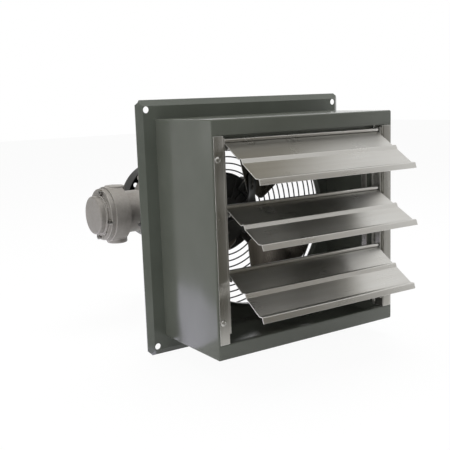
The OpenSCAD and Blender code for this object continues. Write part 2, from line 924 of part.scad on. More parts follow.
// Front end bell: mounting face with ribs and pads, bearing nose, and the flange with bolt lugs
module front_end_bell() {
    flange_y = shell_y - bell_flange;
    face_y = motor_y + pad_h;
    color(motor_dark) difference() {
        union() {
            turned() {
                band(0, nose_r, motor_y - nose_len, flange_y + bell_wall);
                band(0, bell_face_r, face_y, flange_y + bell_wall);
                band(0, bell_r, flange_y, shell_y);
                band(0, shell_r - shell_t - seat_fit, shell_y, shell_y + spigot_len);
            }
            around(corner_angles) translate([pad_circle_r, 0, 0]) bar_y(pad_r, motor_y, flange_y);
            around(corner_angles) translate([bolt_circle_r, 0, 0])
                bar_y(lug_r, flange_y - lug_stand, shell_y);
            around([for (k = [0:casting_ribs - 1]) k * 360 / casting_ribs])
                translate([nose_r - rib_sink, face_y - rib_h, -rib_t / 2])
                    cube([bell_back_r - nose_r, rib_h + rib_sink, rib_t]);
        }
        bar_y(nose_bore_r, motor_y - nose_len - overrun, shell_y);
        bar_y(bearing_d / 2 + seat_fit, front_bearing_y, shell_y + bore_pocket);
        turned() band(bearing_d / 2 + bell_wall, shell_r - shell_t - bell_wall,
            flange_y + bell_step, shell_y + bore_pocket);
        around(corner_angles) translate([pad_circle_r, 0, 0])
            bar_y(motor_bolt_shank_r + seat_fit, motor_y - overrun, motor_y + pad_h + bell_wall);
        around(corner_angles) translate([bolt_circle_r, 0, 0])
            bar_y(through_bolt_r + seat_fit, flange_y - lug_stand - overrun, shell_y + overrun);
    }
}

module rear_end_bell() {
    back = rear_y - bell_wall;
    color(cast_grey) difference() {
        union() {
            turned() {
                band(0, rear_bell_r, shell_end, back);
                band(0, bell_back_r, back, rear_y);
                band(0, shell_r - shell_t - seat_fit, shell_end - spigot_len, shell_end);
            }
            around(corner_angles) translate([bolt_circle_r, 0, 0]) bar_y(lug_r, shell_end, back);
            around(side_angles) intersection() {
                translate([post_r_in, back, -post_w / 2])
                    cube([2 * post_depth, bell_wall + post_len, post_w]);
                bar_y(post_r_out, back - overrun, back + bell_wall + post_len + overrun);
            }
        }
        bar_y(rear_bore_r, shell_end, rear_y + overrun);
        bar_y(bearing_d / 2 + seat_fit, shell_end - spigot_len - overrun, rear_bearing_y + bearing_w);
        turned() band(bearing_d / 2 + bell_wall, shell_r - shell_t - bell_wall,
            shell_end - spigot_len - overrun, back - bell_wall);
        around(corner_angles) translate([bolt_circle_r, 0, 0])
            bar_y(through_bolt_r + seat_fit, shell_end - overrun, rear_y + overrun);
        around(side_angles) translate([0, cowl_y + post_len / 2, 0])
            bar_x(screw_shank_r + seat_fit, post_r_in - overrun, cowl_r + overrun);
    }
}

module motor_shell() {
    color(motor_dark) difference() {
        turned() band(shell_r - shell_t, shell_r, shell_y, shell_end);
        translate([0, cbox_y, 0]) bar_x(nipple_r + seat_fit, -shell_r - overrun, 0);
    }
}

module stator_core() {
    y0 = shell_y + core_start;
    color(lamination) turned()
        band(core_bore_r, shell_r - shell_t - seat_fit, y0, y0 + core_len);
}

// The coils' end turns, bound into a ring at each end of the core
module stator_windings() {
    y0 = shell_y + core_start;
    flat = winding_half - winding_flat;
    color(copper) for (y = [y0 - winding_gap - winding_len, y0 + core_len + winding_gap])
        turned() {
            band(winding_r - winding_half, winding_r + winding_half,
                y + winding_half, y + winding_len - winding_half);
            band(winding_r - flat, winding_r + flat, y, y + winding_len);
            for (end = [winding_half, winding_len - winding_half])
                translate([winding_r, y + end]) circle(winding_half);
        }
}

module through_bolts() {
    y0 = shell_y - bell_flange - lug_stand;
    y1 = rear_y - bell_wall;
    color(steel) around(corner_angles) translate([bolt_circle_r, 0, 0]) {
        bar_y(through_bolt_r, y0 - front_nut_h, y1 + bolt_head_h);
        hex_y(bolt_head_r, y0 - front_nut_h, y0);
        hex_y(bolt_head_r, y1, y1 + bolt_head_h);
    }
}

// Black cowl over the cooling fan, open towards the motor, with rings of vent holes at the back
module fan_cowl() {
    back = cowl_y + cowl_len;
    color(cowl_black) difference() {
        turned() {
            band(cowl_r - cowl_t, cowl_r, cowl_y, back - cowl_edge_r);
            band(0, cowl_r - cowl_edge_r, back - cowl_t, back);
            translate([cowl_r - cowl_edge_r, back - cowl_edge_r]) intersection() {
                difference() {
                    circle(cowl_edge_r);
                    circle(cowl_edge_r - cowl_t);
                }
                square(cowl_edge_r);
            }
        }
        for (ring = [1:vent_rings]) around([for (k = [0:6 * ring - 1]) k * 60 / ring])
            translate([ring * vent_pitch, 0, 0]) bar_y(cowl_hole_r, back - 2 * cowl_t, back + overrun);
        around(side_angles) translate([0, cowl_y + post_len / 2, 0])
            bar_x(screw_shank_r + seat_fit, cowl_r - 2 * cowl_t, cowl_r + overrun);
    }
}

module cowl_screws() {
    color(steel) around(side_angles) translate([0, cowl_y + post_len / 2, 0]) {
        bar_x(screw_shank_r, post_r_in + screw_bite, cowl_r);
        bar_x(cowl_screw_head_r, cowl_r, cowl_r + screw_head_h);
    }
}

// A flat steel arm: bolted foot on the flange, leg beside the orifice, and arm in to the motor
module mount_arm(angle) {
    rotate([0, -angle, 0]) difference() {
        translate([0, 0, -arm_w / 2]) linear_extrude(arm_w) {
            translate([arm_leg_r - arm_t, flange_sheet])
                square([arm_foot_end - arm_leg_r + arm_t, arm_t]);
            translate([arm_leg_r - arm_t, flange_sheet]) square([arm_t, motor_y - flange_sheet]);
            translate([arm_inner_r, motor_y - arm_t]) square([arm_leg_r - arm_inner_r, arm_t]);
        }
        translate([foot_bolt_r, 0, 0])
            bar_y(foot_bolt_shank_r + seat_fit, 0, flange_sheet + arm_t + overrun);
        translate([pad_circle_r, 0, 0])
            bar_y(motor_bolt_shank_r + seat_fit, motor_y - arm_t - overrun, motor_y + overrun);
    }
}

module mount_arm_1() {
    color(motor_dark) mount_arm(corner_angles[0]);
}

module mount_arm_2() {
    color(motor_dark) mount_arm(corner_angles[1]);
}

module mount_arm_3() {
    color(motor_dark) mount_arm(corner_angles[2]);
}

module mount_arm_4() {
    color(motor_dark) mount_arm(corner_angles[3]);
}

module arm_foot_bolts() {
    top = flange_sheet + arm_t;
    color(steel) around(corner_angles) translate([foot_bolt_r, 0, 0]) {
        bar_y(foot_bolt_shank_r, -bolt_head_h / 2, top + bolt_head_h + bolt_end);
        bar_y(carriage_head_r, -bolt_head_h / 2, 0);
        hex_y(wide_head_r, top, top + bolt_head_h);
    }
}

module arm_motor_bolts() {
    seat = motor_y - arm_t;
    color(steel) around(corner_angles) translate([pad_circle_r, 0, 0]) {
        bar_y(motor_bolt_shank_r, seat - wide_head_h, motor_y + pad_h + bell_wall - overrun);
        hex_y(wide_head_r, seat - wide_head_h, seat);
    }
}

module ring(r, y, wire) {
    turned() translate([r, y]) circle(wire / 2, $fn = wire_fn);
}

// Direction square to the guard's side, away from the air stream
function side_out() = let (run = [foot_ring_r - shoulder_r, foot_ring_y - guard_y])
    [-run[1], run[0]] / norm(run);

// Side rings counted from the shoulder that stay clear of the foot ring's half of the basket
upper_rings = ceil(side_rings / 2);

// Radius and place of side ring k, stepping from the shoulder down to the foot ring beside the ribs
function side_at(k) = let (share = (k + 1) / (side_rings + 1))
    [shoulder_r, guard_y] + share * [foot_ring_r - shoulder_r, foot_ring_y - guard_y]
    + share * (foot_ring_wire - ring_wire) / 2 * side_out();

module guard_face_rings() {
    color(wire_dark)
        for (k = [0:face_rings - 1]) ring(ring_first_r + k * ring_pitch, guard_y, ring_wire);
}

module guard_side_rings() {
    color(wire_dark)
        for (k = [0:upper_rings - 1]) ring(side_at(k)[0], side_at(k)[1], ring_wire);
}

module guard_foot_rings() {
    color(wire_dark) {
        for (k = [upper_rings:side_rings - 1]) ring(side_at(k)[0], side_at(k)[1], ring_wire);
        ring(foot_ring_r, foot_ring_y, foot_ring_wire);
    }
}

// A round wire through points of a plane, with a slightly fuller ball at each bend
module bent_wire(points, d) {
    last = len(points) - 1;
    for (k = [0:last - 1]) let (p = points[k], run = points[k + 1] - p) translate(p)
        rotate([0, 0, atan2(run[1], run[0])]) rotate([0, 90, 0]) cylinder(d = d, h = norm(run));
    for (k = [1:last - 1]) translate(points[k]) sphere(d = d * bend_share);
}

// Outline of a rib beside the rings: over the face, round the shoulder, down beside the foot ring
function rib_points() = let (off = (ring_wire + rib_wire) / 2 + weld_gap,
        foot_off = (foot_ring_wire + rib_wire) / 2 + weld_gap,
        out = side_out()) [
    [ring_first_r - ring_wire / 2, guard_y + off],
    [ring_last_r + ring_wire, guard_y + off],
    side_at(0) + off * out,
    [foot_ring_r, foot_ring_y] + foot_off * out,
    [foot_ring_r + foot_off * out[0], flange_sheet + guard_foot_t / 2]];

module guard_ribs() {
    color(wire_dark) {
        around(rib_angles) bent_wire(rib_points(), rib_wire);
        around(corner_angles) difference() {
            plate_y(flange_sheet, flange_sheet + guard_foot_t) {
                translate([foot_ring_r - foot_ring_wire / 2, -guard_foot_w / 2])
                    square([guard_screw_r - foot_ring_r + foot_ring_wire / 2, guard_foot_w]);
                translate([guard_screw_r, 0]) circle(guard_foot_w / 2);
            }
            translate([guard_screw_r, 0, 0])
                bar_y(guard_screw_shank_r + seat_fit, 0, flange_sheet + 2 * guard_foot_t);
        }
    }
}

module guard_screws() {
    seat = flange_sheet + guard_foot_t;
    color(steel) around(corner_angles) translate([guard_screw_r, 0, 0]) {
        bar_y(guard_screw_shank_r, -guard_screw_end, seat);
        bar_y(screw_head_r, seat, seat + screw_head_h);
    }
}

// A body turned about the conduit box's axis, from an outline of radius and distance along -X
module turned_x() {
    translate([0, cbox_y, 0]) rotate([0, -90, 0]) rotate_extrude() children();
}

// Copies turned about the conduit box's axis
module around_x(angles) {
    for (a = angles) translate([0, cbox_y, 0]) rotate([a, 0, 0]) children();
}

// Cast box: nipple into the motor, round body, rim with a boss above and below, bored entry below
module conduit_box() {
    entry_x = entry_back - cbox_seat;
    inner_r = cbox_r - cbox_wall;
    color(cast_grey) difference() {
        union() {
            turned_x() {
                band(0, nipple_r, nipple_start, cbox_start + cbox_round);
                band(0, cbox_r, cbox_start + cbox_round, cbox_seat);
                band(0, cbox_r - cbox_round, cbox_start, cbox_start + cbox_round);
                translate([cbox_r - cbox_round, cbox_start + cbox_round]) circle(cbox_round);
                band(0, cbox_rim_r, cbox_seat - rim_len, cbox_seat);
            }
            translate([entry_x, cbox_y, -cbox_rim_r - entry_stand])
                cylinder(r = entry_boss_r, h = entry_len + entry_stand);
            translate([entry_x, cbox_y, cbox_rim_r + top_stand - entry_len])
                cylinder(r = entry_boss_r, h = entry_len);
        }
        turned_x() {
            band(0, inner_r, cbox_start + cbox_wall, cbox_seat + overrun);
            band(0, nipple_r - cbox_wall, nipple_start - overrun, cbox_start + cbox_wall + overrun);
        }
        translate([entry_x, cbox_y, -cbox_rim_r - entry_stand - overrun])
            cylinder(r = entry_r, h = cbox_rim_r);
        around_x(cover_bolt_angles) translate([0, 0, cover_bolt_circle_r])
            bar_x(cover_bolt_r + seat_fit, -cbox_seat - overrun, cover_bolt_grip + overrun - cbox_seat);
    }
}

module conduit_cover() {
    flange_end = cbox_seat + cover_flange_t;
    step_end = flange_end + cover_step_t;
    disc_end = step_end + disc_t;
    color(cast_grey) difference() {
        union() {
            turned_x() {
                band(0, cover_flange_r, cbox_seat, flange_end);
                band(0, cover_step_r, cbox_seat, step_end);
                band(0, disc_r, step_end, disc_end - disc_round);
                band(0, disc_r - disc_round, step_end, disc_end);
                translate([disc_r - disc_round, disc_end - disc_round]) circle(disc_round);
            }
            around_x(cover_lug_angles) translate([-step_end, -cover_lug_w / 2, lug_root_r])
                cube([cover_step_t + cover_flange_t / 2, cover_lug_w, cover_lug_r - lug_root_r]);
        }
        around_x(cover_bolt_angles) translate([0, 0, cover_bolt_circle_r]) {
            bar_x(cover_bolt_r + seat_fit, -flange_end - overrun, overrun - cbox_seat);
            bar_x(bolt_head_r + bolt_head_gap, -step_end - overrun, -flange_end);
        }
        turned_x() band(0, cover_cup_r, cbox_seat - overrun, flange_end);
    }
}

module cover_bolts() {
    seat = -cbox_seat - cover_flange_t;
    head = seat - socket_head_h;
    color(steel) around_x(cover_bolt_angles) translate([0, 0, cover_bolt_circle_r]) difference() {
        union() {
            bar_x(cover_bolt_r, seat, cover_bolt_grip - cbox_seat);
            bar_x(bolt_head_r, head, seat);
        }
        translate([head - overrun, 0, 0]) rotate([0, 90, 0])
            cylinder(r = through_bolt_r, h = socket_depth + overrun, $fn = 6);
    }
}

wall_box();
mounting_flange();
left_channel();
right_channel();
channel_screws();
left_pivot_strip();
right_pivot_strip();
pivot_bushes();
louvre_1();
louvre_2();
louvre_3();
louvre_1_pins();
louvre_2_pins();
louvre_3_pins();
tie_bar();
fan_blade_1();
fan_blade_2();
fan_blade_3();
fan_spider();
fan_rivets();
fan_hub();
hub_set_screw();
motor_shaft();
rotor_core();
cooling_fan();
front_end_bell();
rear_end_bell();
motor_shell();
stator_core();
stator_windings();
front_bearing();
rear_bearing();
through_bolts();
fan_cowl();
cowl_screws();
mount_arm_1();
mount_arm_2();
mount_arm_3();
mount_arm_4();
arm_foot_bolts();
arm_motor_bolts();
guard_face_rings();
guard_side_rings();
guard_foot_rings();
guard_ribs();
guard_screws();
conduit_box();
conduit_cover();
cover_bolts();
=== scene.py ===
"""Dressed model of a wall-housed exhaust fan with a gravity shutter.

The solids of the part are the frame. Bent sheet pieces, propeller blades and castings are worked out
here as surfaces of two parameters, in millimetres, and every surface gets its finish.
"""
import json
import math

import bmesh
import bpy
import numpy as np
from mathutils import Matrix


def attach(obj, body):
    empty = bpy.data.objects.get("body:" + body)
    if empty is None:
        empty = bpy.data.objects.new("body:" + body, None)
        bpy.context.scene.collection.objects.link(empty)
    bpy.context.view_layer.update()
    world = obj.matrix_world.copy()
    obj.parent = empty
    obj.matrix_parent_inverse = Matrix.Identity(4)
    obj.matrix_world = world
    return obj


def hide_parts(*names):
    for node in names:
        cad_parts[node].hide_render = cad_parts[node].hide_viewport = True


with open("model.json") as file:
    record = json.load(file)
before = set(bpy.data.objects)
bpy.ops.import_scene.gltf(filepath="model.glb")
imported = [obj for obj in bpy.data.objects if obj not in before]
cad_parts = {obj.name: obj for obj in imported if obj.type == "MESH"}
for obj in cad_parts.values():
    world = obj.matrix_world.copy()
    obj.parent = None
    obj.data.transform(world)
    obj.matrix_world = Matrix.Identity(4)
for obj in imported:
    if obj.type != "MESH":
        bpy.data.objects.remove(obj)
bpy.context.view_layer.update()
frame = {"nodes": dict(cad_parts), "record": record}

MM = 0.001
NODES = frame["nodes"]


# ---------------------------------------------------------------- making meshes

def make_piece(name, surface, body, stands_for, slot, sharp=35):
    """A surface (points in millimetres, faces) as a piece in its slot's finish, smooth but for edges
    sharper than that many degrees."""
    verts, faces = surface
    mesh = bpy.data.meshes.new(name)
    mesh.from_pydata((np.asarray(verts, float) * MM).tolist(), [], [list(map(int, f)) for f in faces])
    work = bmesh.new()
    work.from_mesh(mesh)
    bmesh.ops.remove_doubles(work, verts=work.verts, dist=1e-6)
    bmesh.ops.recalc_face_normals(work, faces=work.faces)
    for edge in work.edges:
        edge.smooth = len(edge.link_faces) == 2 and edge.calc_face_angle(0) < math.radians(sharp)
    work.to_mesh(mesh)
    work.free()
    mesh.polygons.foreach_set("use_smooth", [True] * len(mesh.polygons))
    mesh.materials.append(by_slot[slot])
    piece = bpy.data.objects.new(name, mesh)
    bpy.context.scene.collection.objects.link(piece)
    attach(piece, body)
    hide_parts(*stands_for)


def join(*parts):
    """Several (points, faces) pairs as one."""
    verts, faces, start = [], [], 0
    for part_verts, part_faces in parts:
        part_verts = np.asarray(part_verts, float)
        verts.append(part_verts)
        faces += [[start + i for i in face] for face in part_faces]
        start += len(part_verts)
    return np.concatenate(verts), faces


def tube_faces(rows, cols, ring=False, caps=True):
    """Faces over rows of closed loops of cols points; ring joins the last row to the first."""
    i, j = np.meshgrid(np.arange(rows if ring else rows - 1), np.arange(cols), indexing="ij")
    a, b = i.ravel(), j.ravel()
    c, d = (a + 1) % rows, (b + 1) % cols
    faces = np.stack([a * cols + b, a * cols + d, c * cols + d, c * cols + b], 1).tolist()
    if caps and not ring:
        faces.append(list(range(cols))[::-1])
        faces.append([(rows - 1) * cols + k for k in range(cols)])
    return faces


def loft(sections, ring=False, caps=True):
    """The surface through closed sections, an array of rows x points x 3."""
    sections = np.asarray(sections, float)
    rows, cols, _ = sections.shape
    return sections.reshape(-1, 3), tube_faces(rows, cols, ring, caps)


def rounded(points, radius, steps=5):
    """An open path with an arc at each inner corner: the arc starts and ends at the tangent points."""
    points = np.asarray(points, float)
    radius = np.broadcast_to(radius, (len(points),))
    out = [points[0]]
    for k in range(1, len(points) - 1):
        a, p, b = points[k - 1], points[k], points[k + 1]
        u, v = (a - p) / np.linalg.norm(a - p), (b - p) / np.linalg.norm(b - p)
        half = 0.5 * math.acos(np.clip(u @ v, -1, 1))
        if radius[k] <= 0 or abs(math.pi / 2 - half) < 1e-3:
            out.append(p)
            continue
        middle = (u + v) / np.linalg.norm(u + v)
        centre = p + middle * radius[k] / math.sin(half)
        start, end = p + u * radius[k] / math.tan(half), p + v * radius[k] / math.tan(half)
        t = np.linspace(0, 1, steps + 1)[:, None]
        arc = start * (1 - t) + end * t - centre
        out += list(centre + arc / np.linalg.norm(arc, axis=1)[:, None] * radius[k])
    out.append(points[-1])
    return np.array(out)


def sheet_outline(path, thickness):
    """The closed outline of a bent sheet: the path moved out by half the thickness to both sides."""
    step = np.diff(path, axis=0)
    side = np.stack([-step[:, 1], step[:, 0]], 1) / np.linalg.norm(step, axis=1)[:, None]
    normal = np.concatenate([side[:1], side[:-1] + side[1:], side[-1:]])
    normal = normal / np.linalg.norm(normal, axis=1)[:, None]
    mitre = np.ones((len(path), 1))
    mitre[1:-1] = 1 / np.maximum(0.5, np.sum(normal[1:-1] * side[:-1], axis=1))[:, None]
    out = path + normal * mitre * thickness / 2
    back = path - normal * mitre * thickness / 2
    return np.concatenate([out, back[::-1]])


def turned(profile, steps, place, closed=False):
    """A surface of revolution: profile rows (radius, distance along) turned through steps places, then
    put in the world by place(x, y, along). Ends on the axis close to a point, other ends stay open
    unless the profile itself is closed."""
    profile = np.asarray(profile, float)
    angle = np.linspace(0, 2 * math.pi, steps, endpoint=False)
    r, h = profile[:, 0][:, None], profile[:, 1][:, None]
    verts = place(r * np.cos(angle), r * np.sin(angle), h + 0 * angle).reshape(-1, 3)
    return verts, tube_faces(len(profile), steps, ring=closed, caps=False)


def along_y(x, z, y):
    """Turned about the fan's axis."""
    return np.stack([x, y, z], -1)


def plates(front, back):
    """A closed sheet between two grids of points of the same size."""
    rows, cols, _ = front.shape
    sections = np.concatenate([front, back[:, ::-1]], 1)
    verts, faces = loft(sections, caps=False)
    width = 2 * cols
    for row in (0, rows - 1):
        base = row * width
        for j in range(cols - 1):
            quad = [base + j, base + j + 1, base + width - 2 - j, base + width - 1 - j]
            faces.append(quad if row else quad[::-1])
    return verts, faces


# ---------------------------------------------------------------- finishes

def linear(hex_colour):
    """A hex sRGB colour as linear RGBA."""
    part = [int(hex_colour[i:i + 2], 16) / 255 for i in (1, 3, 5)]
    return [c / 12.92 if c <= 0.04045 else ((c + 0.055) / 1.055) ** 2.4 for c in part] + [1]


def add_node(tree, kind, settings=None, links=None):
    """One node: settings fill its own properties or its input sockets, links feed its inputs."""
    node = tree.nodes.new(kind)
    for key, value in (settings or {}).items():
        if isinstance(key, str) and hasattr(node, key):
            setattr(node, key, value)
        else:
            node.inputs[key].default_value = value
    for key, source in (links or {}).items():
        tree.links.new(source, node.inputs[key])
    return node


def new_finish(name):
    """An empty material with its tree, its shader and a point in object space in millimetres."""
    material = bpy.data.materials.new(name)
    material.use_nodes = True
    tree = material.node_tree
    tree.nodes.clear()
    shader = add_node(tree, "ShaderNodeBsdfPrincipled")
    add_node(tree, "ShaderNodeOutputMaterial", links={"Surface": shader.outputs[0]})
    place = add_node(tree, "ShaderNodeTexCoord")
    point = add_node(tree, "ShaderNodeVectorMath", {"operation": "SCALE", "Scale": 1 / MM},
                     {0: place.outputs["Object"]})
    return material, tree, shader, point.outputs[0]


def grain(tree, point, size_mm, stretch=(1, 1, 1), detail=4.0, roughness=0.55):
    """Noise whose cells are size_mm across, drawn out by stretch along each axis."""
    scaled = add_node(tree, "ShaderNodeMapping", {"Scale": [1 / (size_mm * s) for s in stretch]}, {0: point})
    return add_node(tree, "ShaderNodeTexNoise", {"Scale": 1.0, "Detail": detail, "Roughness": roughness},
                    {"Vector": scaled.outputs[0]}).outputs[0]


def ramp(tree, source, low, high, dark, light):
    """source from low to high as a colour from dark to light."""
    node = add_node(tree, "ShaderNodeValToRGB", links={0: source})
    first, last = node.color_ramp.elements
    first.position, last.position = low, high
    first.color, last.color = dark, light
    return node.outputs[0]


def spread(tree, source, low, high, out_low, out_high):
    """source from low to high as a number from out_low to out_high."""
    return add_node(tree, "ShaderNodeMapRange",
                    {1: low, 2: high, 3: out_low, 4: out_high}, {0: source}).outputs[0]


def soft_edges(tree, radius_mm, relief, strength, depth_mm):
    """A normal rounded at edges by radius_mm, with relief on top."""
    edge = add_node(tree, "ShaderNodeBevel", {"samples": 4, "Radius": radius_mm * MM})
    return add_node(tree, "ShaderNodeBump", {"Strength": strength, "Distance": depth_mm * MM},
                    {"Height": relief, "Normal": edge.outputs[0]}).outputs[0]


def bends_and_edges(tree, radius_mm):
    """0 on the flats, rising to 1 within radius_mm of a bend or a cut edge."""
    round_normal = add_node(tree, "ShaderNodeBevel", {"samples": 6, "Radius": radius_mm * MM}).outputs[0]
    flat_normal = add_node(tree, "ShaderNodeNewGeometry").outputs["Normal"]
    together = add_node(tree, "ShaderNodeVectorMath", {"operation": "DOT_PRODUCT"},
                        {0: round_normal, 1: flat_normal}).outputs["Value"]
    return spread(tree, together, 0.9, 0.995, 1.0, 0.0)


def lighter(tree, tone, share, light):
    """tone turning to light where share is 1."""
    return add_node(tree, "ShaderNodeMix", {"data_type": "RGBA", 7: linear(light)},
                    {0: share, 6: tone}).outputs[2]


def painted_sheet(name, tone, pale_tone):
    """Polyester powder coat on sheet steel: satin, with a fine orange peel of about 1.5 mm that breaks
    up the sheen, and faint handling marks that are a little lighter."""
    material, tree, shader, point = new_finish(name)
    peel = grain(tree, point, 1.5, detail=2.0)
    cloud = grain(tree, point, 90)
    scuff = grain(tree, point, 14, (1, 1, 6), detail=6.0)
    base = ramp(tree, cloud, 0.3, 0.75, linear(tone), linear(pale_tone))
    shader.inputs["Specular IOR Level"].default_value = 0.5
    tree.links.new(base, shader.inputs["Base Color"])
    tree.links.new(spread(tree, scuff, 0.3, 0.7, 0.13, 0.22), shader.inputs["Roughness"])
    tree.links.new(soft_edges(tree, 0.8, peel, 0.12, 0.04), shader.inputs["Normal"])
    return material


def brushed_sheet(name, dark, light, along, rough=(0.25, 0.33), line_mm=0.35, highlight_mm=1.0):
    """Mill-finish aluminium sheet: drawing lines a few tenths of a millimetre apart run along one axis,
    so the light is drawn out across them, and the tone drifts in soft bands. Bends and sheared edges
    are painted pale and less metallic, a painted highlight that draws the thin pale lines along them."""
    material, tree, shader, point = new_finish(name)
    stretch = [1.0, 1.0, 1.0]
    stretch[along] = 160.0
    lines = grain(tree, point, line_mm, stretch, detail=3.0)
    bands = grain(tree, point, 9, [s if s == 1 else 14 for s in stretch], detail=2.0)
    smudge = grain(tree, point, 60, detail=1.0)
    # Painted highlight: bends and cut edges turn pale (#f0efeb) and less metallic, standing in for the light
    # their rounding catches.
    painted_edge_highlight = bends_and_edges(tree, highlight_mm)
    tone = ramp(tree, bands, 0.25, 0.75, linear(dark), linear(light))
    shader.inputs["Anisotropic"].default_value = 0.6
    tree.links.new(lighter(tree, tone, painted_edge_highlight, "#f0efeb"), shader.inputs["Base Color"])
    tree.links.new(spread(tree, painted_edge_highlight, 0, 1, 1.0, 0.4), shader.inputs["Metallic"])
    mixed = add_node(tree, "ShaderNodeMath", {"operation": "MULTIPLY_ADD", 1: 0.5, 2: 0.25},
                     {0: lines}).outputs[0]
    dulled = add_node(tree, "ShaderNodeMath", {"operation": "MULTIPLY"}, {0: mixed, 1: smudge}).outputs[0]
    tree.links.new(spread(tree, dulled, 0.15, 0.35, *rough), shader.inputs["Roughness"])
    tangent = add_node(tree, "ShaderNodeTangent", {"direction_type": "RADIAL", "axis": "XYZ"[along]})
    tree.links.new(tangent.outputs[0], shader.inputs["Tangent"])
    tree.links.new(soft_edges(tree, 0.3, lines, 0.1, 0.02), shader.inputs["Normal"])
    return material


def cast_metal(name, dark, light, metallic, rough, pale_tone=None, edge_mm=1.4):
    """Sand casting: a matt, slightly pitted skin with grains about a millimetre wide, darker where
    dirt sits in it, and paler at its edges, a painted highlight where the rounded edges catch light."""
    material, tree, shader, point = new_finish(name)
    sand = grain(tree, point, 1.1, detail=5.0, roughness=0.65)
    pits = grain(tree, point, 4.5, detail=4.0)
    cloud = grain(tree, point, 26)
    mix = add_node(tree, "ShaderNodeMath", {"operation": "MULTIPLY_ADD", 1: 0.5, 2: 0.25},
                   {0: cloud}).outputs[0]
    tone = add_node(tree, "ShaderNodeMath", {"operation": "ADD"},
                    {0: mix, 1: spread(tree, pits, 0.2, 0.8, -0.15, 0.15)}).outputs[0]
    skin = ramp(tree, tone, 0.25, 0.75, linear(dark), linear(light))
    # Painted highlight: within edge_mm of an edge the skin turns to the pale tone (the light tone unless one
    # is given).
    painted_edge_highlight = bends_and_edges(tree, edge_mm)
    tree.links.new(lighter(tree, skin, painted_edge_highlight, pale_tone or light), shader.inputs["Base Color"])
    shader.inputs["Metallic"].default_value = metallic
    tree.links.new(spread(tree, sand, 0.25, 0.75, rough - 0.08, rough + 0.1), shader.inputs["Roughness"])
    tree.links.new(soft_edges(tree, edge_mm, sand, 0.35, 0.12), shader.inputs["Normal"])
    return material


def plated_steel(name, dark, light, rough):
    """Zinc-plated or ground steel: fine turning marks and dull spots a few millimetres wide."""
    material, tree, shader, point = new_finish(name)
    marks = grain(tree, point, 0.5, detail=3.0)
    spots = grain(tree, point, 5, detail=4.0)
    tree.links.new(ramp(tree, spots, 0.3, 0.7, linear(dark), linear(light)), shader.inputs["Base Color"])
    shader.inputs["Metallic"].default_value = 1.0
    tree.links.new(spread(tree, spots, 0.3, 0.7, rough, rough + 0.14), shader.inputs["Roughness"])
    tree.links.new(soft_edges(tree, 0.25, marks, 0.08, 0.02), shader.inputs["Normal"])
    return material


def enamel(name, tone, pale_tone, rough=0.38, edge_mm=0.9):
    """Sprayed enamel on castings and wire: slightly lumpy, with small duller patches."""
    material, tree, shader, point = new_finish(name)
    lumps = grain(tree, point, 2.2, detail=3.0)
    cloud = grain(tree, point, 30)
    tree.links.new(ramp(tree, cloud, 0.3, 0.75, linear(tone), linear(pale_tone)), shader.inputs["Base Color"])
    tree.links.new(spread(tree, cloud, 0.3, 0.7, rough, rough + 0.12), shader.inputs["Roughness"])
    tree.links.new(soft_edges(tree, edge_mm, lumps, 0.2, 0.08), shader.inputs["Normal"])
    return material


def moulded_plastic(name, tone, pale_tone):
    """Moulded plastic: an even, fine texture with a soft sheen."""
    material, tree, shader, point = new_finish(name)
    fine = grain(tree, point, 0.4, detail=2.0)
    cloud = grain(tree, point, 12)
    tree.links.new(ramp(tree, cloud, 0.3, 0.7, linear(tone), linear(pale_tone)), shader.inputs["Base Color"])
    shader.inputs["Roughness"].default_value = 0.42
    tree.links.new(soft_edges(tree, 0.3, fine, 0.1, 0.02), shader.inputs["Normal"])
    return material


def stacked_laminations(name, dark, light):
    """Core of stamped steel sheets half a millimetre thick, drawn as 1 mm bands so that they show."""
    material, tree, shader, point = new_finish(name)
    wave = add_node(tree, "ShaderNodeTexWave",
                    {"bands_direction": "Y", "Scale": 2 * math.pi / 20, "Distortion": 0.0},
                    {"Vector": point}).outputs[1]
    tree.links.new(ramp(tree, wave, 0.2, 0.8, linear(dark), linear(light)), shader.inputs["Base Color"])
    shader.inputs["Metallic"].default_value = 1.0
    shader.inputs["Roughness"].default_value = 0.45
    return material


def wound_copper(name, dark, light):
    """Varnished copper wire of about 1 mm laid round the ring: ridges that follow the winding."""
    material, tree, shader, point = new_finish(name)
    strands = grain(tree, point, 1.2, (3, 1, 3), detail=2.0)
    tree.links.new(ramp(tree, strands, 0.3, 0.7, linear(dark), linear(light)), shader.inputs["Base Color"])
    shader.inputs["Metallic"].default_value = 0.8
    shader.inputs["Roughness"].default_value = 0.35
    tree.links.new(soft_edges(tree, 0.5, strands, 0.5, 0.3), shader.inputs["Normal"])
    return material


